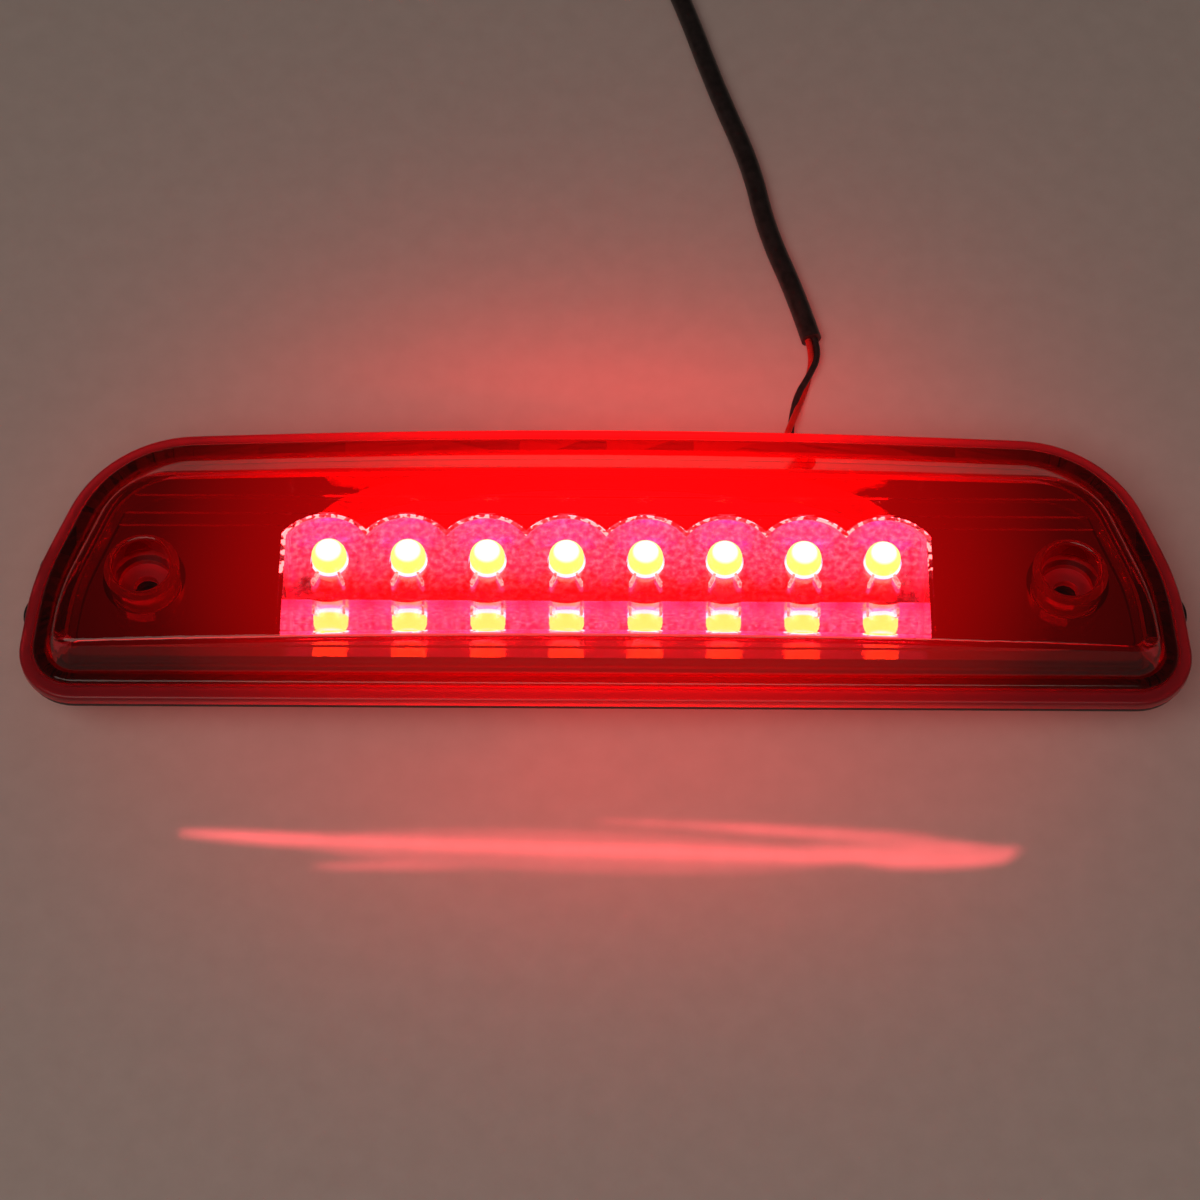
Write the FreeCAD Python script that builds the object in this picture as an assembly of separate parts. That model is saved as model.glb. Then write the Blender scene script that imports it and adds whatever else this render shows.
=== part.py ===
"""High-mount third brake light for a pickup cab: a red lens over a metallised
reflector with eight LEDs, a black rear housing and a short sleeved lead.

Frame, in millimetres: the lamp lies on its back. +X runs along its width, +Y is
up on the vehicle, +Z points out of the lens, and z = 0 is the rear face of the
housing. The origin is under the middle of the lamp's outline.
"""
import FreeCAD, Part
import math
import os

V = FreeCAD.Vector
Z_AXIS = V(0, 0, 1)

# ---------------------------------------------------------------- driving sizes
# Outline of the lens flange: corners of the right half with their rounding.
HALF_WIDTH = 130.9           # where the side meets the bottom edge, before rounding
BOTTOM_Y = -34.0
BOTTOM_CORNER_R = 12.8
SIDE_BEND = (128.6, -3.5)    # the side leans in above this point
SIDE_BEND_R = 60.0
SHOULDER = (115.0, 33.38)
SHOULDER_R = 30.0
CROWN_Y = 38.0               # corner of the two top edges, rounded to a long arch
CROWN_R = 2000.0

# Heights of the stack, from the rear face.
BASE_T = 2.0                 # rear wall of the housing
FLANGE_BOTTOM = 17.5         # housing flange
FLANGE_INSET = 0.5           # the lens overhangs the flange a little
HOUSING_TOP = 19.0
GASKET_T = 3.0
GASKET_INSET = 3.4
GASKET_BULGE_R = 6.6
GASKET_BULGES = [(-124.0, -10.6), (-121.6, 0.8), (123.9, -9.0), (123.6, -17.0), (120.6, 2.5)]
LENS_BOTTOM = 19.5
LENS_FLANGE_TOP = 22.0
LENS_STEP_TOP = 23.6
LENS_CROWN = 34.0            # highest point of the lens face
LENS_FACE_R = 3000.0         # the face follows the cab, bowed along X
LENS_T = 2.4
DOME_SPRING = 35.5           # where the side walls of the lens would meet flat

# Fixing screws of the lamp, through a well in each end of the lens.
WELL_X = 102.8
WELL_Y = -5.8
WELL_MOUTH_R = 6.6
WELL_FLOOR_R = 5.9
WELL_FLOOR = (19.8, 22.0)
SCREW_HOLE_R = 2.75

# Reflector window and LEDs.
LED_COUNT = 8
LED_PITCH = 18.0
LED_Y = 6.0
LED_R = 4.0
LED_FLANGE_R = 4.6
LED_TIP = 18.7
WINDOW_HALF = 72.0
WINDOW_NEAR = -18.9          # near edge of the window at the plate
PLATE_Z = 25.0
TERRACES = ((15.3, 25.8), (10.9, 25.4), (7.9, PLATE_Z))  # far edge and height of each
REFLECTOR_TOP = 26.2
LEDGE = (-21.2, 24.4)         # the plate drops to this height beyond this line
WINDOW_FLOOR_Z = 13.0
CUP_R = 11.0
CUP_LIP = (0.9, 24.2)        # width of the step round each cup's top, and its height
AIM_SLOPE = 0.567            # the window's walls lean this much towards -Y per mm up
NEAR_MIRROR_FOOT = -4.4      # foot of the near sloping mirror, at the window's floor
REFLECTOR_T = 1.8

# Housing box under the flange.
BOX_HALF = 87.0
BOX_Y = (-21.0, 26.0)
BOX_CORNER_R = 6.0
WALL = 2.0

# Circuit board.
BOARD_Z = (7.4, 9.0)
BOARD_HALF = 73.5
BOARD_Y = (-8.0, 20.0)
BOARD_FIXING_X = 70.5
BOARD_FIXING_Y = (-4.5, 16.5)
BOARD_SCREW_R = 1.25

REFLECTOR_FIXING_X = 80.0
REFLECTOR_FIXING_Y = (-12.5, 17.5)
REFLECTOR_SCREW_R = 1.4
BREATHER_R = 3.5
BREATHER_AT = (-25.0, 3.0)

# Lead: two wires from a grommet to a sleeve, which ends in a connector.
WIRE_D = 1.6
WIRE_GAP = 0.9               # each wire's offset from the pair's middle line
SLEEVE_D = 5.0
EXIT = (41.5, 31.0, 6.0)
WIRE_ROUTE = [
    EXIT, (41.5, 35.6, 6.0), (42.2, 42.4, 2.1), (43.4, 49.3, 0.95),
    (45.2, 56.2, 0.9), (48.0, 63.0, 1.0), (50.55, 69.9, 2.6), (49.4, 74.4, 2.6),
]
SLEEVE_ROUTE = [
    (49.4, 74.4, 2.6), (46.2, 86.9, 2.6), (39.2, 106.8, 2.55), (35.8, 126.5, 2.55),
    (27.2, 151.0, 2.55), (19.0, 179.5, 2.55), (9.0, 203.0, 5.0), (-4.5, 222.0, 5.0),
]
CONNECTOR_HEADING = math.degrees(math.atan2(19.0, -13.5))

parts = {}


# ---------------------------------------------------------------- small helpers
def cylinder(r, z0, z1, x=0.0, y=0.0):
    return Part.makeCylinder(r, z1 - z0, V(x, y, z0))


def cone(r0, r1, z0, z1, x=0.0, y=0.0):
    return Part.makeCone(r0, r1, z1 - z0, V(x, y, z0))


def block(x0, x1, y0, y1, z0, z1):
    return Part.makeBox(x1 - x0, y1 - y0, z1 - z0, V(x0, y0, z0))


def round_corners(corners, z):
    """Closed wire through (x, y, radius) corners, each rounded by a tangent arc."""
    count = len(corners)
    arcs = []
    for i, (x, y, r) in enumerate(corners):
        here = V(x, y, z)
        back = V(corners[i - 1][0], corners[i - 1][1], z) - here
        ahead = V(corners[(i + 1) % count][0], corners[(i + 1) % count][1], z) - here
        back.normalize()
        ahead.normalize()
        half = back.getAngle(ahead) / 2
        reach = r / math.tan(half)
        inward = (back + ahead).normalize()
        middle = here + inward * (r / math.sin(half) - r)
        arcs.append((here + back * reach, middle, here + ahead * reach))
    edges = []
    for i, (start, middle, end) in enumerate(arcs):
        edges.append(Part.Arc(start, middle, end).toShape())
        edges.append(Part.LineSegment(end, arcs[(i + 1) % count][0]).toShape())
    return Part.Wire(edges)


def rounded_box(x0, x1, y0, y1, r, z0, z1):
    wire = round_corners([(x0, y0, r), (x1, y0, r), (x1, y1, r), (x0, y1, r)], z0)
    return Part.Face(wire).extrude(V(0, 0, z1 - z0))


def lamp_outline(z, bottom=0.0, side=None, shoulder=None, top=None):
    """The lamp's outline at height z, with each edge moved inwards by its inset."""
    side = bottom if side is None else side
    shoulder = side if shoulder is None else shoulder
    top = shoulder if top is None else top
    right = [(HALF_WIDTH, BOTTOM_Y, BOTTOM_CORNER_R), SIDE_BEND + (SIDE_BEND_R,),
             SHOULDER + (SHOULDER_R,)]
    left = [(-x, y, r) for x, y, r in reversed(right)]
    corners = right + [(0.0, CROWN_Y, CROWN_R)] + left
    insets = [side, shoulder, top, top, shoulder, side, bottom]
    count = len(corners)
    lines = []
    for i in range(count):
        start = V(corners[i][0], corners[i][1], 0)
        end = V(corners[(i + 1) % count][0], corners[(i + 1) % count][1], 0)
        along = (end - start).normalize()
        inward = V(-along.y, along.x, 0)
        lines.append((start + inward * insets[i], along))
    moved = []
    for i in range(count):
        (p, d), (q, e) = lines[i - 1], lines[i]
        step = ((q - p).cross(e)).z / (d.cross(e)).z
        corner = p + d * step
        radius = corners[i][2] - (insets[i - 1] + insets[i]) / 2
        moved.append((corner.x, corner.y, max(radius, 2.0)))
    return round_corners(moved, z)


def prism(z0, z1, *insets):
    return Part.Face(lamp_outline(z0, *insets)).extrude(V(0, 0, z1 - z0))


def taper(z0, insets0, z1, insets1):
    return Part.makeLoft([lamp_outline(z0, *insets0), lamp_outline(z1, *insets1)], True, True)


def face_crown(top):
    """Everything under the bowed face whose highest line is at z = top."""
    reach = 140.0
    edge_z = top - LENS_FACE_R + math.sqrt(LENS_FACE_R ** 2 - reach ** 2)
    corners = [V(-reach, -60, edge_z), V(-reach, -60, 0), V(reach, -60, 0), V(reach, -60, edge_z)]
    edges = [Part.LineSegment(a, b).toShape() for a, b in zip(corners, corners[1:])]
    edges.append(Part.Arc(corners[-1], V(0, -60, top), corners[0]).toShape())
    return Part.Face(Part.Wire(edges)).extrude(V(0, 120, 0))


def fillet_where(shape, radius, keep):
    edges = [edge for edge in shape.Edges if keep(edge)]
    return shape.makeFillet(radius, edges)


def route_wire(points):
    """Straight runs joined by tangent arcs, each as large as its two runs allow."""
    points = [V(*p) for p in points]
    edges = []
    radii = []
    last = points[0]
    for before, corner, after in zip(points, points[1:], points[2:]):
        back = before - corner
        ahead = after - corner
        reach = 0.45 * min(back.Length, ahead.Length)
        back.normalize()
        ahead.normalize()
        half_turn = (math.pi - back.getAngle(ahead)) / 2
        radius = reach / math.tan(half_turn)
        radii.append(radius)
        start = corner + back * reach
        end = corner + ahead * reach
        inward = (back + ahead).normalize()
        middle = corner + inward * (radius / math.cos(half_turn) - radius)
        edges.append(Part.LineSegment(last, start).toShape())
        edges.append(Part.Arc(start, middle, end).toShape())
        last = end
    edges.append(Part.LineSegment(last, points[-1]).toShape())
    return Part.Wire(edges), radii


def tube(name, points, diameter):
    path, radii = route_wire(points)
    start = V(*points[0])
    heading = V(*points[1]) - start
    ring = Part.Wire([Part.Circle(start, heading, diameter / 2).toShape()])
    solid = path.makePipeShell([ring], True, False)
    expected = math.pi * diameter ** 2 / 4 * path.Length
    print(f"{name}: length {path.Length:.1f}, radii {[round(r, 1) for r in radii]}, "
          f"volume {solid.Volume:.1f} against {expected:.1f}")
    return solid


def beside(points, offset):
    """The same route, moved sideways by offset, square to its heading at each point."""
    moved = []
    for i, (x, y, z) in enumerate(points):
        before = points[max(i - 1, 0)]
        after = points[min(i + 1, len(points) - 1)]
        across = V(after[1] - before[1], before[0] - after[0], 0)
        if across.Length < 0.01:
            across = V(1, 0, 0)
        across = across.normalize() * offset
        moved.append((x + across.x, y + across.y, z))
    return moved


def group(shapes):
    return Part.Compound(shapes)


# ---------------------------------------------------------------- lens
def well_centres():
    return [(-WELL_X, WELL_Y), (WELL_X, WELL_Y)]


def make_lens():
    flange = prism(LENS_BOTTOM, LENS_FLANGE_TOP, 0)
    flange = fillet_where(flange, 0.7, lambda e: e.BoundBox.ZMin > LENS_FLANGE_TOP - 0.1)
    step = prism(LENS_FLANGE_TOP - 1, LENS_STEP_TOP, 3.2)
    step = fillet_where(step, 0.9, lambda e: e.BoundBox.ZMin > LENS_STEP_TOP - 0.1)
    dome = taper(LENS_STEP_TOP - 1, (5.1, 5.6, 5.6, 5.4), DOME_SPRING, (10.6, 10.6, 13.4, 19.4))
    dome = dome.common(face_crown(LENS_CROWN))
    dome = fillet_where(dome, 2.2, lambda e: e.BoundBox.ZMin > 30)
    shell = flange.fuse([step, dome]).removeSplitter()

    groove_floor = LENS_FLANGE_TOP - 0.7
    groove = prism(groove_floor, LENS_FLANGE_TOP + 1, 2.5)
    groove = groove.cut(prism(groove_floor, LENS_FLANGE_TOP + 1, 3.2))
    shell = shell.cut(groove)

    cavity_low = prism(LENS_BOTTOM - 1, 22.3, 7.8, 8.3, 8.3, 8.7)
    cavity_top = taper(22.3, (7.8, 8.3, 8.3, 8.7), DOME_SPRING - 1.3, (12.7, 13.0, 15.8, 21.7))
    cavity_top = cavity_top.common(face_crown(LENS_CROWN - LENS_T))
    shell = shell.cut(cavity_low).cut(cavity_top)

    under_face = face_crown(LENS_CROWN - 0.5)
    for x, y in well_centres():
        post = cone(7.7, 8.7, WELL_FLOOR[0], LENS_CROWN, x, y).common(under_face)
        bore = cone(WELL_FLOOR_R, WELL_MOUTH_R, WELL_FLOOR[1], LENS_CROWN, x, y)
        shell = shell.fuse(post).cut(bore)
        shell = shell.cut(cylinder(SCREW_HOLE_R, 0, LENS_CROWN, x, y))
    return fillet_where(shell, 0.8, is_well_mouth)


def is_well_mouth(edge):
    box = edge.BoundBox
    return box.ZMin > 31.5 and abs(box.XLength - 2 * WELL_MOUTH_R) < 0.6 and box.YLength < 14


def make_lens_seal():
    return prism(HOUSING_TOP, LENS_BOTTOM, 1.6).cut(prism(HOUSING_TOP, LENS_BOTTOM, 6.8))


def make_well_seal(x, y):
    ring = cylinder(5.4, HOUSING_TOP, WELL_FLOOR[0], x, y)
    return ring.cut(cylinder(3.3, HOUSING_TOP, WELL_FLOOR[0], x, y))


# ---------------------------------------------------------------- reflector
def led_xs():
    return [(i - (LED_COUNT - 1) / 2) * LED_PITCH for i in range(LED_COUNT)]


def leaning(profile_face, height):
    """Extrude upwards along the direction in which the window's walls lean."""
    return profile_face.extrude(V(0, -AIM_SLOPE * height, height))


def yz_prism(points, half_length):
    """A solid along X with a section given by (y, z) points."""
    corners = [V(-half_length, y, z) for y, z in points]
    wire = Part.makePolygon(corners + corners[:1])
    return Part.Face(wire).extrude(V(2 * half_length, 0, 0))


def make_window():
    """The hollow of the reflector: a flat floor, leaning cups and the near mirror."""
    height = 17.0
    lip_width, lip_z = CUP_LIP
    top = WINDOW_FLOOR_Z + height
    mirror_run = (NEAR_MIRROR_FOOT - WINDOW_NEAR) / (PLATE_Z - WINDOW_FLOOR_Z)
    hollow = yz_prism([
        (LED_Y, WINDOW_FLOOR_Z), (LED_Y - AIM_SLOPE * height, top),
        (NEAR_MIRROR_FOOT - mirror_run * height, top), (NEAR_MIRROR_FOOT, WINDOW_FLOOR_Z),
    ], WINDOW_HALF + lip_width)
    cells = []
    for x in led_xs():
        for radius, z in ((CUP_R, WINDOW_FLOOR_Z), (CUP_R + lip_width, lip_z)):
            centre = V(x, LED_Y - AIM_SLOPE * (z - WINDOW_FLOOR_Z), z)
            ring = Part.Wire([Part.Circle(centre, Z_AXIS, radius).toShape()])
            cells.append(leaning(Part.Face(ring), top - z))
    limit = block(-WINDOW_HALF, WINDOW_HALF, -60, 60, WINDOW_FLOOR_Z, top)
    lip_half = WINDOW_HALF + lip_width
    limit = limit.fuse(block(-lip_half, lip_half, -60, 60, lip_z, top))
    return hollow.fuse(cells).common(limit)


def reflector_fixings():
    return [(x, y) for x in (-REFLECTOR_FIXING_X, REFLECTOR_FIXING_X) for y in REFLECTOR_FIXING_Y]


def make_reflector():
    skirt = prism(HOUSING_TOP, 22.0, 9.0, 9.6, 9.6, 10.4)
    rise = taper(22.0, (9.0, 9.6, 9.6, 10.4), REFLECTOR_TOP, (11.2, 11.8, 12.4, 14.6))
    body = skirt.fuse(rise)

    # Three long steps climb from the plate towards the top edge.
    panel = prism(PLATE_Z, 40, 10.0, 13.2, 14.0, 9.0)
    for step_y, step_z in TERRACES:
        cut = block(-140, 140, -60, step_y, step_z, 40)
        if step_y < TERRACES[0][0]:
            cut = cut.common(panel)
        body = body.cut(cut)
    # The plate drops to a lower ledge along the bottom edge.
    body = body.cut(block(-140, 140, -60, *LEDGE, 40))

    thin = PLATE_Z - REFLECTOR_T
    body = body.cut(prism(HOUSING_TOP - 1, thin - 1.6, 10.8, 11.4, 11.4, 12.4))
    body = body.cut(block(-98, 98, -19.4, 15.0, HOUSING_TOP, thin))

    trough = yz_prism([
        (WINDOW_NEAR - 2.4, PLATE_Z - 1.0), (-8.6, 11.0), (18.9, 11.0),
        (18.9, 15.2), (14.2, PLATE_Z - 1.0),
    ], WINDOW_HALF + REFLECTOR_T)
    body = body.fuse(trough)
    for x, y in reflector_fixings():
        body = body.fuse(cylinder(3.4, 4.0, 24.0, x, y))
        body = body.cut(cylinder(REFLECTOR_SCREW_R, 3.0, 14.0, x, y))
    body = body.cut(make_window())
    for x in led_xs():
        body = body.cut(cylinder(LED_R + 0.35, 10, WINDOW_FLOOR_Z + 1, x, LED_Y))
    for x, y in well_centres():
        body = body.cut(cylinder(9.2, HOUSING_TOP - 1, 30, x, y))
    return body.removeSplitter()


# ---------------------------------------------------------------- light source
def make_led(x):
    body = cylinder(LED_FLANGE_R, BOARD_Z[1], BOARD_Z[1] + 1.2, x, LED_Y)
    body = body.fuse(cylinder(LED_R, BOARD_Z[1], LED_TIP - LED_R, x, LED_Y))
    body = body.fuse(Part.makeSphere(LED_R, V(x, LED_Y, LED_TIP - LED_R)))
    flat = block(x - 10, x - LED_R - 0.1, LED_Y - 10, LED_Y + 10, 0, 40)
    return body.cut(flat).removeSplitter()


def pin_places():
    return [(x + side * 1.27, LED_Y) for x in led_xs() for side in (-1, 1)]


def make_led_pins():
    return group([cylinder(0.3, BOARD_Z[0] - 1.6, BOARD_Z[1], x, y) for x, y in pin_places()])


def board_fixings():
    return [(x, y) for x in (-BOARD_FIXING_X, BOARD_FIXING_X) for y in BOARD_FIXING_Y]


def make_board():
    board = rounded_box(-BOARD_HALF, BOARD_HALF, *BOARD_Y, 1.5, *BOARD_Z)
    holes = [cylinder(0.42, 0, 20, x, y) for x, y in pin_places()]
    holes += [cylinder(BOARD_SCREW_R + 0.15, 0, 20, x, y) for x, y in board_fixings()]
    return board.cut(holes)


def make_board_screws():
    screws = []
    for x, y in board_fixings():
        head = cylinder(2.3, BOARD_Z[1], BOARD_Z[1] + 1.5, x, y)
        slot = block(x - 1.4, x + 1.4, y - 0.3, y + 0.3, BOARD_Z[1] + 0.8, BOARD_Z[1] + 2)
        cross = block(x - 0.3, x + 0.3, y - 1.4, y + 1.4, BOARD_Z[1] + 0.8, BOARD_Z[1] + 2)
        shank = cylinder(BOARD_SCREW_R, 3.0, BOARD_Z[1], x, y)
        screws.append(head.fuse(shank).cut(slot).cut(cross))
    return group(screws)


def make_resistors():
    """One current-limiting resistor per LED, on the back of the board."""
    return group([block(x - 1.6, x + 1.6, -2.8, -1.2, BOARD_Z[0] - 0.6, BOARD_Z[0])
                  for x in led_xs()])


def make_diode():
    return block(30.0, 34.6, 12.0, 14.6, BOARD_Z[0] - 2.1, BOARD_Z[0])


# ---------------------------------------------------------------- housing
def make_housing():
    box = rounded_box(-BOX_HALF, BOX_HALF, *BOX_Y, BOX_CORNER_R, 0, FLANGE_BOTTOM + 1)
    box = fillet_where(box, 1.2, lambda e: e.BoundBox.ZMax < 0.1)
    body = box.fuse(prism(FLANGE_BOTTOM, HOUSING_TOP, FLANGE_INSET))
    inner = rounded_box(-BOX_HALF + WALL, BOX_HALF - WALL, BOX_Y[0] + WALL, BOX_Y[1] - WALL,
                        BOX_CORNER_R - WALL, BASE_T, HOUSING_TOP)
    body = body.cut(inner)
    for x, y in board_fixings():
        body = body.fuse(cylinder(2.6, 1, BOARD_Z[0], x, y))
        body = body.cut(cylinder(BOARD_SCREW_R, 3.0, BOARD_Z[0], x, y))
    for x, y in reflector_fixings():
        body = body.fuse(cylinder(4.0, 1, 4.0, x, y))
        body = body.cut(cylinder(3.2, -1, 1.8, x, y))
        body = body.cut(cylinder(REFLECTOR_SCREW_R + 0.2, -1, 4.0, x, y))
    for x, y in well_centres():
        body = body.cut(cylinder(SCREW_HOLE_R, 0, HOUSING_TOP + 1, x, y))
    body = body.cut(rounded_box(-74, 74, -15, 20, 3, -1, 0.6))
    for x in (-50, 0, 50):
        body = body.fuse(block(x - 0.8, x + 0.8, -15.5, 20.5, 0, 1.0))
    body = body.cut(Part.makeCylinder(3.2, 6, V(EXIT[0], 22, EXIT[2]), V(0, 1, 0)))
    body = body.cut(cylinder(BREATHER_R, -1, 5, *BREATHER_AT))
    return body.removeSplitter()


def make_reflector_screws():
    screws = []
    for x, y in reflector_fixings():
        head = cylinder(2.8, 0.2, 1.8, x, y)
        slot = block(x - 1.7, x + 1.7, y - 0.35, y + 0.35, -1, 0.9)
        cross = block(x - 0.35, x + 0.35, y - 1.7, y + 1.7, -1, 0.9)
        shank = cylinder(REFLECTOR_SCREW_R, 1.8, 13.0, x, y)
        screws.append(head.fuse(shank).cut(slot).cut(cross))
    return group(screws)


def make_breather():
    """Rubber vent plug in the rear wall, flush with the recessed panel."""
    plug = cylinder(BREATHER_R, 0.8, 2.0, *BREATHER_AT)
    plug = plug.fuse(cylinder(BREATHER_R + 0.9, 2.0, 3.2, *BREATHER_AT))
    return plug.cut(cylinder(1.0, 0, 4, *BREATHER_AT))


def make_gasket():
    """Foam ring under the flange; it bulges a little past the two ends."""
    z0, z1 = FLANGE_BOTTOM - GASKET_T, FLANGE_BOTTOM
    ring = prism(z0, z1, GASKET_INSET)
    for x, y in GASKET_BULGES:
        ring = ring.fuse(cylinder(GASKET_BULGE_R, z0, z1, x, y))
    ring = ring.cut(rounded_box(-BOX_HALF - 0.4, BOX_HALF + 0.4, BOX_Y[0] - 0.4, BOX_Y[1] + 0.4,
                                BOX_CORNER_R, z0, z1))
    for x, y in well_centres():
        ring = ring.cut(cylinder(3.2, z0, z1, x, y))
    return ring.removeSplitter()


# ---------------------------------------------------------------- lead
def make_grommet():
    x, y, z = EXIT
    along = V(0, 1, 0)
    body = Part.makeCylinder(3.9, 1.2, V(x, 22.8, z), along)
    body = body.fuse(Part.makeCylinder(3.2, 2.0, V(x, 24.0, z), along))
    body = body.fuse(Part.makeCylinder(4.6, 1.4, V(x, 26.0, z), along))
    body = body.fuse(Part.makeCone(3.6, 2.5, y - 27.4, V(x, 27.4, z), along))
    for side in (-1, 1):
        start = V(x + side * WIRE_GAP, 22, z)
        body = body.cut(Part.makeCylinder(WIRE_D / 2, 12, start, along))
    return body


def inner_wire_route():
    """From the back of the board, down and out through the grommet."""
    x, y, z = EXIT
    return [(x, 9.0, BOARD_Z[0]), (x, 9.0, 4.9), (x, 12.4, 3.4), (x, 16.6, 4.9),
            (x, 20.6, z), (x, y, z)]


def in_connector_frame(shape):
    shape.rotate(V(0, 0, 0), Z_AXIS, CONNECTOR_HEADING)
    shape.translate(V(SLEEVE_ROUTE[-1][0], SLEEVE_ROUTE[-1][1], 0))
    return shape


def make_connector_seal():
    seal = Part.makeCylinder(3.1, 4.0, V(0, 0, 5.0), V(1, 0, 0))
    for at in (0.5, 2.0):
        seal = seal.fuse(Part.makeCylinder(3.6, 0.8, V(at, 0, 5.0), V(1, 0, 0)))
    return in_connector_frame(seal)


def make_connector_shell():
    shell = block(4.0, 12.0, -6.0, 6.0, 0.6, 9.4).fuse(block(12.0, 27.0, -7.5, 7.5, 0, 10.0))
    shell = fillet_where(shell, 0.8, lambda e: e.BoundBox.XLength > 6)
    shell = shell.cut(block(14.0, 30.0, -6.0, 6.0, 1.5, 8.5))
    shell = shell.cut(block(8.0, 16.0, -3.6, -1.6, 4.5, 5.5)).cut(block(8.0, 16.0, 1.6, 3.6, 4.5, 5.5))
    latch = block(12.0, 24.0, -2.5, 2.5, 10.0, 11.4).cut(block(15.0, 20.0, -1.3, 1.3, 9.9, 12))
    shell = shell.fuse(latch)
    for side in (-1, 1):
        shell = shell.fuse(block(13.0, 25.0, side * 7.9 - 0.6, side * 7.9 + 0.6, 3.0, 4.4))
    return in_connector_frame(shell.removeSplitter())


def make_connector_terminals():
    blades = [block(8.2, 23.0, y - 0.9, y + 0.9, 4.6, 5.4) for y in (-2.6, 2.6)]
    return group([in_connector_frame(blade) for blade in blades])


# ---------------------------------------------------------------- assembly
parts["lens"] = make_lens()
parts["lens_seal"] = make_lens_seal()
for side, (well_x, well_y) in zip(("left", "right"), well_centres()):
    parts[f"well_seal_{side}"] = make_well_seal(well_x, well_y)
parts["reflector"] = make_reflector()
for number, led_x in enumerate(led_xs(), start=1):
    parts[f"led_{number}"] = make_led(led_x)
parts["led_pins"] = make_led_pins()
parts["led_board"] = make_board()
parts["board_screws"] = make_board_screws()
parts["resistors"] = make_resistors()
parts["protection_diode"] = make_diode()
parts["rear_housing"] = make_housing()
parts["reflector_screws"] = make_reflector_screws()
parts["breather_plug"] = make_breather()
parts["mounting_gasket"] = make_gasket()
parts["wire_grommet"] = make_grommet()
for colour, offset in (("red", -WIRE_GAP), ("black", WIRE_GAP)):
    inner = tube(f"inner_wire_{colour}", beside(inner_wire_route(), offset), WIRE_D)
    parts[f"inner_wire_{colour}"] = inner
    parts[f"lead_wire_{colour}"] = tube(f"lead_wire_{colour}", beside(WIRE_ROUTE, offset), WIRE_D)
parts["lead_sleeve"] = tube("lead_sleeve", SLEEVE_ROUTE, SLEEVE_D)
parts["connector_seal"] = make_connector_seal()
parts["connector_shell"] = make_connector_shell()
parts["connector_terminals"] = make_connector_terminals()

os.makedirs("parts", exist_ok=True)
for name, shape in parts.items():
    if not shape.isValid():
        print("not valid:", name)
    shape.exportStep(f"parts/{name}.step")
    box = shape.BoundBox
    print(f"{name}: {len(shape.Solids)} solid(s), {shape.Volume / 1000:.2f} cm3, "
          f"z {box.ZMin:.2f} to {box.ZMax:.2f}")
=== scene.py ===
"""Looks of the high-mount third brake light: lit, lying on its back on a pale floor.

Everything is in metres in the CAD frame: +X along the lamp, +Y up on the vehicle,
+Z out of the lens, and the floor at z = 0.
"""

import math

import bmesh
import bpy
from mathutils import Matrix, Vector


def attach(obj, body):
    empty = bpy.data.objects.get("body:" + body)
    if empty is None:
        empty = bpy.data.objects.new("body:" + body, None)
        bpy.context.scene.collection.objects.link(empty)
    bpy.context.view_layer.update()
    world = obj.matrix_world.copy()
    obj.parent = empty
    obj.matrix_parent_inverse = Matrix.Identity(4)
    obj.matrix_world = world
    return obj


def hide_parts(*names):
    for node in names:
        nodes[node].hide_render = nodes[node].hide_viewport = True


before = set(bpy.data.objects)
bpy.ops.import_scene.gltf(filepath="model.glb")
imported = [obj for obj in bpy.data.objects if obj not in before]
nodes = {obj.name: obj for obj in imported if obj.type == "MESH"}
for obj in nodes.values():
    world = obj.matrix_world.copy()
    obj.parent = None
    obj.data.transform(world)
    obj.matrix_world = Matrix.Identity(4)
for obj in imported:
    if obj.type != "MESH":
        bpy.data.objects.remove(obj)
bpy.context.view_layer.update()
scene = bpy.context.scene
scene.view_settings.view_transform = "Standard"

# ---------------------------------------------------------------- camera
ELEVATION = math.radians(60.5)
DISTANCE = 0.700
TARGET = Vector((0.0, 0.0, 0.020))
LENS_LENGTH = 93.2
ROLL = math.radians(0.30)

camera_data = bpy.data.cameras.new("camera")
camera_data.lens = LENS_LENGTH
camera_data.sensor_width = 36.0
camera_data.shift_x = -0.005
camera_data.shift_y = -0.0242
camera_data.clip_start = 0.01
camera_data.clip_end = 20.0
camera = bpy.data.objects.new("camera", camera_data)
scene.collection.objects.link(camera)
back = Vector((0.0, -math.cos(ELEVATION), math.sin(ELEVATION)))
camera.location = TARGET + back * DISTANCE
camera.rotation_mode = "QUATERNION"
roll = Matrix.Rotation(ROLL, 4, "Z").to_quaternion()
camera.rotation_quaternion = (-back).to_track_quat("-Z", "Y") @ roll
scene.camera = camera


# ---------------------------------------------------------------- node helpers
def material(name, color, roughness, **sockets):
    mat = bpy.data.materials.new(name)
    mat.use_nodes = True
    shader = mat.node_tree.nodes["Principled BSDF"]
    shader.inputs["Base Color"].default_value = (*color, 1.0)
    shader.inputs["Roughness"].default_value = roughness
    for socket, value in sockets.items():
        shader.inputs[socket.replace("_", " ")].default_value = value
    return mat


def shader_of(mat):
    return mat.node_tree.nodes["Principled BSDF"]


def add(mat, kind, settings=None, **inputs):
    """A shader node; inputs go by socket name, or by number as in0, in1 and so on."""
    node = mat.node_tree.nodes.new("ShaderNode" + kind)
    for key, value in (settings or {}).items():
        setattr(node, key, value)
    for key, value in inputs.items():
        numbered = key.startswith("in") and key[2:].isdigit()
        socket = node.inputs[int(key[2:]) if numbered else key.replace("_", " ")]
        if isinstance(value, bpy.types.NodeSocket):
            mat.node_tree.links.new(value, socket)
        else:
            socket.default_value = value
    return node


def link(mat, source, socket):
    mat.node_tree.links.new(source, shader_of(mat).inputs[socket])


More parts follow.
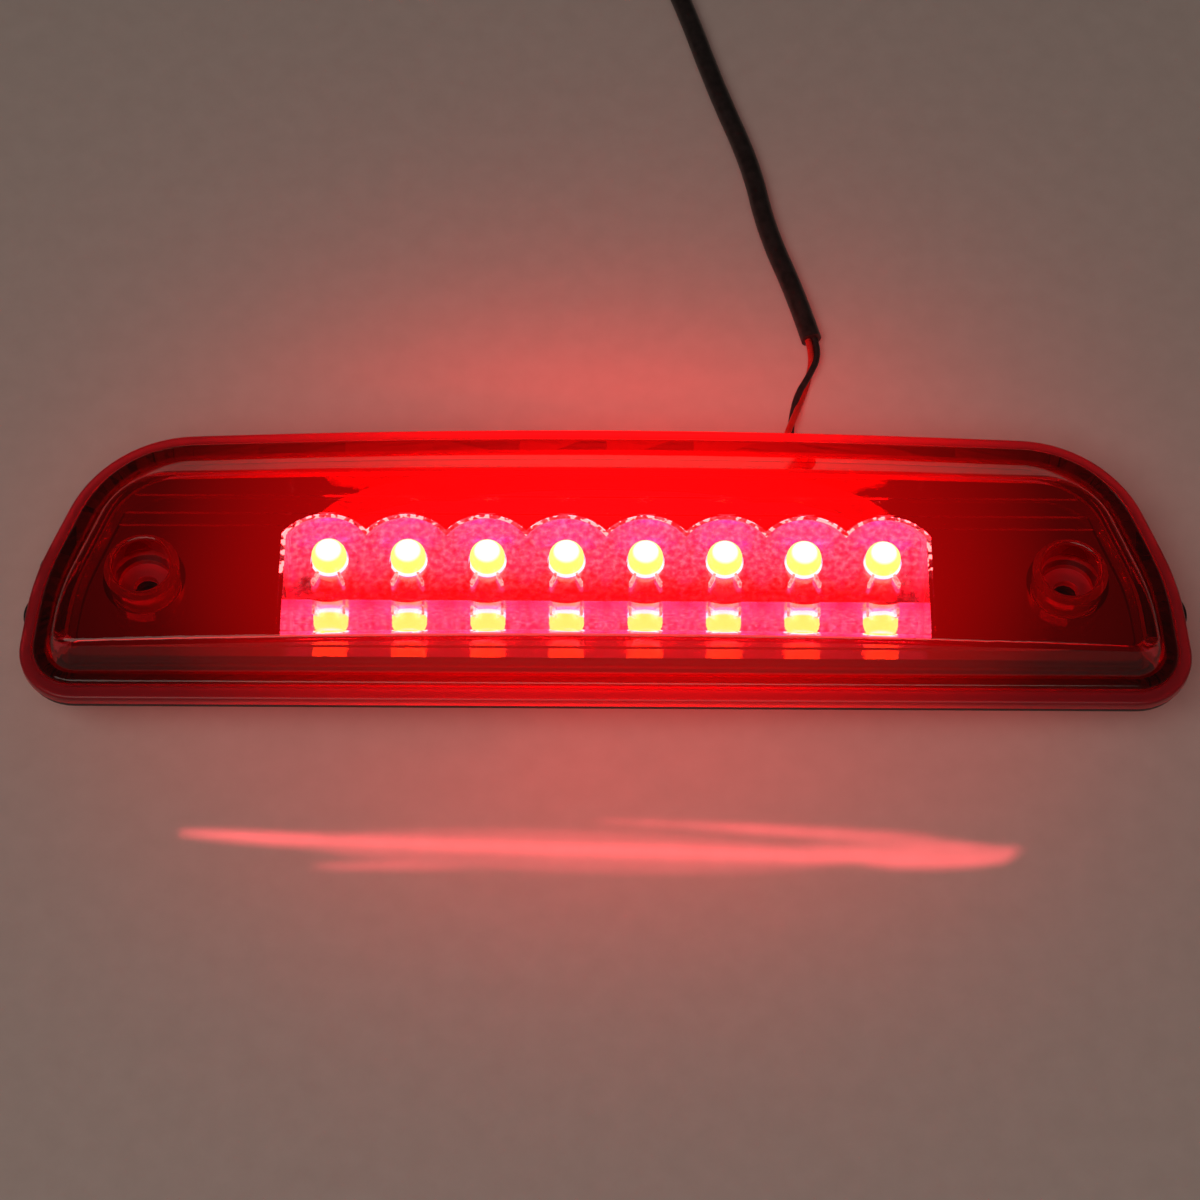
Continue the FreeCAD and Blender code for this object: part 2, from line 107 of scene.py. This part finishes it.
def place(mat):
    return add(mat, "TexCoord").outputs["Object"]


def grain(mat, size, detail=3.0, stretch=None):
    """Noise whose features are about size metres across."""
    where = place(mat)
    if stretch:
        where = add(mat, "Mapping", Vector=where, Scale=stretch).outputs["Vector"]
    return add(mat, "TexNoise", Vector=where, Scale=1.0 / size, Detail=detail).outputs["Fac"]


def ramp(mat, source, stops):
    node = add(mat, "ValToRGB", Fac=source)
    elements = node.color_ramp.elements
    while len(elements) < len(stops):
        elements.new(0.5)
    for element, (position, color) in zip(elements, stops):
        element.position = position
        element.color = (*color, 1.0) if isinstance(color, tuple) else (color, color, color, 1.0)
    return node.outputs["Color"]


def rising(mat, source, start, end):
    """0 below start, 1 above end."""
    return add(mat, "MapRange", in0=source, in1=start, in2=end).outputs["Result"]


def falling(mat, source, start, end):
    """1 below start, 0 above end."""
    return add(mat, "MapRange", in0=source, in1=start, in2=end, in3=1.0, in4=0.0).outputs["Result"]


def blend(mat, mask, first, second):
    """Colour first where the mask is 0, second where it is 1."""
    return add(mat, "Mix", {"data_type": "RGBA"}, in0=mask, in6=first, in7=second).outputs[2]


def maths(mat, operation, a, b=0.0):
    return add(mat, "Math", {"operation": operation}, in0=a, in1=b).outputs["Value"]


def bumped(mat, height, strength, depth):
    normal = add(mat, "Bump", Height=height, Strength=strength, Distance=depth).outputs["Normal"]
    link(mat, normal, "Normal")


def dress(name, mat):
    for slot in nodes[name].material_slots:
        slot.material = mat


def mottled(name, dark, light, size, roughness, spread=0.08, bump=0.2, depth=0.00005, **sockets):
    """A moulded or cut surface: two close tones, uneven gloss and a fine relief."""
    mat = material(name, dark, roughness, **sockets)
    spots = grain(mat, size)
    link(mat, ramp(mat, spots, [(0.3, dark), (0.7, light)]), "Base Color")
    gloss = ramp(mat, grain(mat, size * 3), [(0.3, roughness - spread), (0.7, roughness + spread)])
    link(mat, gloss, "Roughness")
    bumped(mat, spots, bump, depth)
    return mat


# ---------------------------------------------------------------- materials
def lens_material():
    """Clear red plastic with a painted glow near the lit window: emission standing in for LED light scattered
    in the plastic. Its rim is matt from the mould.
    """
    mat = material("lens_red", (0.90, 0.048, 0.080), 0.02, IOR=1.49, Transmission_Weight=1.0,
                   Specular_IOR_Level=0.3)
    # painted glow: emission on the lens, brightest round the window, stands in for LED light scattered in the
    # plastic
    where = add(mat, "Mapping", Vector=place(mat), Scale=(1 / 0.125, 1 / 0.090, 0.0)).outputs["Vector"]
    near = add(mat, "TexGradient", {"gradient_type": "SPHERICAL"}, Vector=where).outputs["Fac"]
    glow = ramp(mat, near, [
        (0.00, (0.002, 0.0, 0.0)), (0.18, (0.012, 0.0, 0.0)), (0.42, (0.085, 0.0, 0.0002)),
        (0.60, (0.125, 0.0003, 0.0005)), (0.80, (0.138, 0.0005, 0.001)), (1.00, (0.155, 0.001, 0.0015))])
    link(mat, glow, "Emission Color")
    shader_of(mat).inputs["Emission Strength"].default_value = 1.0
    height = add(mat, "SeparateXYZ", Vector=place(mat)).outputs["Z"]
    rim = falling(mat, height, 0.0222, 0.0226)
    smears = ramp(mat, grain(mat, 0.012), [(0.4, 0.015), (0.7, 0.05)])
    gloss = add(mat, "Mix", {"data_type": "FLOAT"}, in0=rim, in2=smears, in3=0.30).outputs[0]
    link(mat, gloss, "Roughness")
    clear = add(mat, "MapRange", in0=rim, in3=1.0, in4=0.72).outputs["Result"]
    link(mat, clear, "Transmission Weight")
    bumped(mat, grain(mat, 0.018, 1.0), 0.10, 0.00008)
    return mat


MIRROR = (0.93, 0.88, 0.90, 1.0)
# painted LED light: this pink tint on the cup floors stands in for the LED light cast over the silver
# metallising
CUP_PAINTED_GLOW_TINT = (0.82, 0.17, 0.62, 1.0)
# painted shade on the steep riser walls of the metallising
RISER_PAINTED_SHADE = (0.10, 0.03, 0.03, 1.0)
GLINT = (9.0, 12.0, 7.0, 1.0)


def chrome_material():
    """Bright metallising: a mirror on the panel and near slope, mottled in the cups, with painted light there
    (a pink tint, a glowing haze and glints along the lip) and painted shade on the steep risers.
    """
    mat = material("reflector_metallised", (0.93, 0.88, 0.90), 0.06, Metallic=1.0)
    axes = add(mat, "SeparateXYZ", Vector=place(mat)).outputs
    low = falling(mat, axes["Z"], 0.0240, 0.0246)
    beyond = rising(mat, axes["Y"], -0.0046, -0.0040)
    before = falling(mat, axes["Y"], 0.0195, 0.0200)
    across = falling(mat, maths(mat, "ABSOLUTE", axes["X"]), 0.0734, 0.0738)
    window = maths(mat, "MULTIPLY", beyond, maths(mat, "MULTIPLY", before, across))
    floor = maths(mat, "MULTIPLY", low, window)
    smooth = ramp(mat, grain(mat, 0.008), [(0.35, 0.02), (0.7, 0.08)])
    cloudy = ramp(mat, grain(mat, 0.0030), [(0.35, 0.14), (0.7, 0.34)])
    gloss = add(mat, "Mix", {"data_type": "FLOAT"}, in0=floor, in2=smooth, in3=cloudy).outputs[0]
    link(mat, gloss, "Roughness")
    waves = add(mat, "Mix", {"data_type": "FLOAT"}, in0=floor, in2=0.12, in3=0.5).outputs[0]
    relief = maths(mat, "MULTIPLY", grain(mat, 0.0035, 2.0), waves)
    bumped(mat, relief, 0.5, 0.00030)
    # the cup floors take the painted pink tint of the LED light
    cups = blend(mat, floor, MIRROR, CUP_PAINTED_GLOW_TINT)
    # painted shade: the steep little walls between the terraces and at the ledge are painted dark
    facing = add(mat, "SeparateXYZ", Vector=add(mat, "NewGeometry").outputs["Normal"]).outputs["Z"]
    steep = falling(mat, facing, 0.5, 0.7)
    high = rising(mat, axes["Z"], 0.02495, 0.02500)
    front = falling(mat, axes["Y"], -0.0209, -0.0205)
    riser_shade = maths(mat, "MULTIPLY", steep, maths(mat, "MAXIMUM", high, front))
    link(mat, blend(mat, riser_shade, cups, RISER_PAINTED_SHADE), "Base Color")
    # painted light caught in the cups: emission for a mottled haze on the floor and painted glints in bright
    # dashes along the lip
    haze = ramp(mat, grain(mat, 0.0013), [
        (0.36, (0.1, 0.25, 0.25)), (0.50, (0.4, 1.0, 0.9)), (0.68, (0.9, 3.0, 2.3))])
    behind = add(mat, "MapRange", in0=axes["Y"], in1=-0.002, in2=0.006, in3=0.10, in4=1.0).outputs["Result"]
    hazy = blend(mat, maths(mat, "MULTIPLY", floor, behind), (0.0, 0.0, 0.0, 1.0), haze)
    above = rising(mat, axes["Z"], 0.02405, 0.02412)
    below = falling(mat, axes["Z"], 0.02428, 0.02435)
    glint_dashes = ramp(mat, grain(mat, 0.0014, 1.0), [(0.50, 0.0), (0.56, 1.0)])
    lip = maths(mat, "MULTIPLY", maths(mat, "MULTIPLY", above, below),
                maths(mat, "MULTIPLY", window, glint_dashes))
    caught = blend(mat, lip, hazy, GLINT)
    link(mat, caught, "Emission Color")
    shader_of(mat).inputs["Emission Strength"].default_value = 1.0
    return mat


def led_material():
    """Lit epoxy: a white tip over the chip, a yellow body and a pale foot."""
    mat = material("led_epoxy", (0.95, 0.93, 0.88), 0.05)
    height = add(mat, "SeparateXYZ", Vector=place(mat)).outputs["Z"]
    level = add(mat, "MapRange", in0=height, in1=0.013, in2=0.0187).outputs["Result"]
    glow = ramp(mat, level, [
        (0.00, (1.0, 0.75, 0.40)), (0.12, (1.0, 0.95, 0.60)), (0.18, (1.0, 0.86, 0.07)),
        (0.74, (1.0, 0.95, 0.10)), (0.88, (1.0, 1.0, 0.85)), (1.00, (1.0, 1.0, 1.0))])
    link(mat, glow, "Emission Color")
    shader_of(mat).inputs["Emission Strength"].default_value = 24.0
    return mat


dress("lens", lens_material())
dress("reflector", chrome_material())
leds = led_material()
for name in nodes:
    if name.startswith("led_") and name[4:].isdigit():
        dress(name, leds)
        nodes[name].visible_diffuse = False

housing = mottled("housing_black", (0.011, 0.011, 0.012), (0.022, 0.021, 0.022), 0.0012, 0.45)
dress("rear_housing", housing)
rubber = mottled("rubber_black", (0.010, 0.010, 0.010), (0.024, 0.023, 0.022), 0.0009, 0.62)
dress("wire_grommet", rubber)
dress("breather_plug", rubber)
foam = mottled("foam_black", (0.009, 0.009, 0.010), (0.030, 0.029, 0.029), 0.0005, 0.88,
               bump=0.8, depth=0.0002)
dress("mounting_gasket", foam)
sealant = mottled("sealant_grey", (0.035, 0.034, 0.034), (0.060, 0.058, 0.057), 0.002, 0.55)
dress("lens_seal", sealant)
for name in ("well_seal_left", "well_seal_right"):
    dress(name, rubber)
zinc = mottled("screw_zinc", (0.55, 0.53, 0.48), (0.66, 0.64, 0.60), 0.0008, 0.30, Metallic=1.0)
dress("board_screws", zinc)
dress("reflector_screws", zinc)
tin = mottled("solder_tin", (0.62, 0.62, 0.62), (0.74, 0.74, 0.73), 0.0006, 0.28, Metallic=1.0)
dress("led_pins", tin)
terminals = mottled("terminal_tin", (0.60, 0.59, 0.56), (0.72, 0.71, 0.68), 0.0008, 0.25, Metallic=1.0)
dress("connector_terminals", terminals)
dress("led_board", mottled("board_green", (0.010, 0.085, 0.035), (0.016, 0.12, 0.05), 0.003, 0.35))
dress("resistors", mottled("resistor_black", (0.015, 0.015, 0.016), (0.04, 0.04, 0.04), 0.0004, 0.5))
dress("protection_diode", mottled("diode_black", (0.012, 0.012, 0.012), (0.03, 0.03, 0.03), 0.0005, 0.45))
connector = mottled("connector_black", (0.012, 0.012, 0.013), (0.026, 0.025, 0.026), 0.0009, 0.40)
dress("connector_shell", connector)
dress("connector_seal", mottled("seal_silicone", (0.30, 0.10, 0.05), (0.38, 0.14, 0.07), 0.001, 0.55))
red_wire = mottled("wire_red", (0.42, 0.018, 0.014), (0.52, 0.030, 0.022), 0.001, 0.40)
black_wire = mottled("wire_black", (0.012, 0.011, 0.011), (0.028, 0.025, 0.025), 0.001, 0.42)
dress("inner_wire_red", red_wire)
dress("inner_wire_black", black_wire)


# ---------------------------------------------------------------- lead
SLEEVE_ROUTE = [
    (0.0494, 0.0744, 0.0026), (0.0462, 0.0869, 0.0026), (0.0392, 0.1068, 0.00255),
    (0.0358, 0.1265, 0.00255), (0.0272, 0.1510, 0.00255), (0.0190, 0.1795, 0.00255),
    (0.0090, 0.2030, 0.0050), (-0.0045, 0.2220, 0.0050)]


def spline(name, points, bevel=0.0):
    curve = bpy.data.curves.new(name, "CURVE")
    curve.dimensions = "3D"
    line = curve.splines.new("NURBS")
    line.points.add(len(points) - 1)
    for point, where in zip(line.points, points):
        point.co = (*where, 1.0)
    line.order_u = 3
    line.use_endpoint_u = True
    line.resolution_u = 16
    curve.bevel_depth = bevel
    curve.bevel_resolution = 6
    curve.use_fill_caps = True
    obj = bpy.data.objects.new(name, curve)
    scene.collection.objects.link(obj)
    return obj


sleeve = spline("lead_sleeve_tube", SLEEVE_ROUTE, 0.0025)
sleeve.data.materials.append(mottled("sleeve_black", (0.013, 0.011, 0.011), (0.030, 0.026, 0.026), 0.002, 0.36))
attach(sleeve, "root")
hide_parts("lead_sleeve")


WIRE_RED_ROUTE = [
    (0.0406, 0.0310, 0.0060), (0.0406, 0.0356, 0.0060), (0.0413, 0.0424, 0.0021),
    (0.0430, 0.0480, 0.0024), (0.0450, 0.0530, 0.0026), (0.0464, 0.0575, 0.0009),
    (0.0483, 0.0632, 0.0010), (0.04965, 0.0695, 0.0026), (0.0486, 0.0742, 0.0026)]
WIRE_BLACK_ROUTE = [
    (0.0424, 0.0310, 0.0060), (0.0424, 0.0356, 0.0060), (0.0431, 0.0423, 0.0021),
    (0.0438, 0.0480, 0.0009), (0.0442, 0.0530, 0.0009), (0.0456, 0.0590, 0.0020),
    (0.0486, 0.0640, 0.0026), (0.0512, 0.0702, 0.0026), (0.0502, 0.0746, 0.0026)]

for colour, route, mat in (("red", WIRE_RED_ROUTE, red_wire), ("black", WIRE_BLACK_ROUTE, black_wire)):
    wire = spline(f"lead_wire_{colour}_strand", route, 0.0008)
    wire.data.materials.append(mat)
    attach(wire, "root")
    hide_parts(f"lead_wire_{colour}")


# ---------------------------------------------------------------- ribs under the LEDs
LED_PITCH = 0.018
LED_COUNT = 8
RIB_SIZE = (0.0007, 0.0030, 0.0022)
RIB_REACH = 0.0029           # either side of each LED
RIB_LEAN = 26                # degrees, far ends towards the LED
RIB_EDGE = 0.00022
RIB_Y = 0.0005
WINDOW_FLOOR = 0.013


def make_ribs():
    """Two small leaning ribs on the window's floor in front of each LED, edges softened, with painted glints.
    """
    shape = bmesh.new()
    for index in range(LED_COUNT):
        centre = (index - (LED_COUNT - 1) / 2) * LED_PITCH
        for side in (-1, 1):
            rib_middle = (centre + side * RIB_REACH, RIB_Y, WINDOW_FLOOR + RIB_SIZE[2] / 2)
            where = Matrix.Translation(rib_middle)
            turn = Matrix.Rotation(side * math.radians(RIB_LEAN), 4, "Z")
            scale = Matrix.Diagonal((*RIB_SIZE, 1.0))
            bmesh.ops.create_cube(shape, size=1.0, matrix=where @ turn @ scale)
    bmesh.ops.bevel(shape, geom=list(shape.edges), offset=RIB_EDGE, segments=3, affect="EDGES",
                    profile=0.5)
    mesh = bpy.data.meshes.new("reflector_ribs")
    shape.to_mesh(mesh)
    shape.free()
    ribs = bpy.data.objects.new("reflector_ribs", mesh)
    scene.collection.objects.link(ribs)
    mat = mottled("reflector_ribs", (0.86, 0.80, 0.82), (0.95, 0.90, 0.92), 0.0008, 0.22, Metallic=1.0)
    # painted glints: emission on the ribs stands in for the LED light they catch
    glints = ramp(mat, grain(mat, 0.0010), [(0.35, (2.0, 1.5, 1.0)), (0.60, (9.0, 10.0, 5.5))])
    link(mat, glints, "Emission Color")
    shader_of(mat).inputs["Emission Strength"].default_value = 1.0
    mesh.materials.append(mat)
    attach(ribs, "root")


make_ribs()


# ---------------------------------------------------------------- stage
def make_floor():
    mesh = bpy.data.meshes.new("floor")
    shape = bmesh.new()
    bmesh.ops.create_grid(shape, x_segments=1, y_segments=1, size=3.0)
    shape.to_mesh(mesh)
    shape.free()
    floor = bpy.data.objects.new("floor", mesh)
    scene.collection.objects.link(floor)
    mat = mottled("floor_pale", (0.66, 0.62, 0.59), (0.70, 0.66, 0.63), 0.006, 0.75, bump=0.05)
    mesh.materials.append(mat)


def area_light(name, place_at, aim_at, size, power, color, spread=180.0, shape="RECTANGLE", glossy=True,
               shadow=True):
    data = bpy.data.lights.new(name, "AREA")
    data.shape = shape
    data.size, data.size_y = size
    data.energy = power
    data.color = color
    data.spread = math.radians(spread)
    data.use_shadow = shadow
    light = bpy.data.objects.new(name, data)
    scene.collection.objects.link(light)
    light.location = place_at
    aim = Vector(aim_at) - Vector(place_at)
    light.rotation_euler = aim.to_track_quat("-Z", "Y").to_euler()
    light.visible_camera = False
    light.visible_glossy = glossy
    return light


make_floor()
world = bpy.data.worlds.new("world")
scene.world = world
world.use_nodes = True
world.node_tree.nodes["Background"].inputs["Color"].default_value = (1.0, 0.80, 0.70, 1.0)
world.node_tree.nodes["Background"].inputs["Strength"].default_value = 0.035
area_light("softbox", (-0.35, -0.75, 1.5), (0, 0, 0), (1.5, 1.0), 7.6, (1.0, 0.81, 0.72))

# Red light that the lit lens throws round the lamp and, through its front wall, in a thin band.
RED = (1.0, 0.012, 0.014)
area_light("glow_back", (0.0, 0.008, 0.036), (0.0, 0.008, 0.0), (0.130, 0.030), 0.180, RED,
           shape="ELLIPSE", glossy=False, shadow=False)
PINK = (1.0, 0.085, 0.105)
BAND = [  # x, y, length, width, turn in degrees, power
    (0.003, -0.0597, 0.172, 0.0030, -1.6, 0.00150),
    (-0.006, -0.0600, 0.120, 0.0100, -1.5, 0.00110),
    (0.038, -0.0600, 0.110, 0.0036, 1.0, 0.00080),
    (0.052, -0.0560, 0.066, 0.0020, -4.0, 0.00026),
    (0.036, -0.0543, 0.076, 0.0015, -2.5, 0.00020),
    (0.074, -0.0612, 0.034, 0.0050, 3.0, 0.00040),
    (-0.052, -0.0586, 0.086, 0.0030, -3.5, 0.00090),
    (-0.030, -0.0632, 0.070, 0.0020, 1.5, 0.00026),
]
for number, (x, y, length, width, turn, power) in enumerate(BAND):
    streak = area_light(f"band_{number}", (x, y, 0.006), (x, y, 0.0), (length, width), power, PINK,
                        spread=40.0, shape="ELLIPSE", glossy=False)
    streak.rotation_euler = (0.0, 0.0, math.radians(turn))
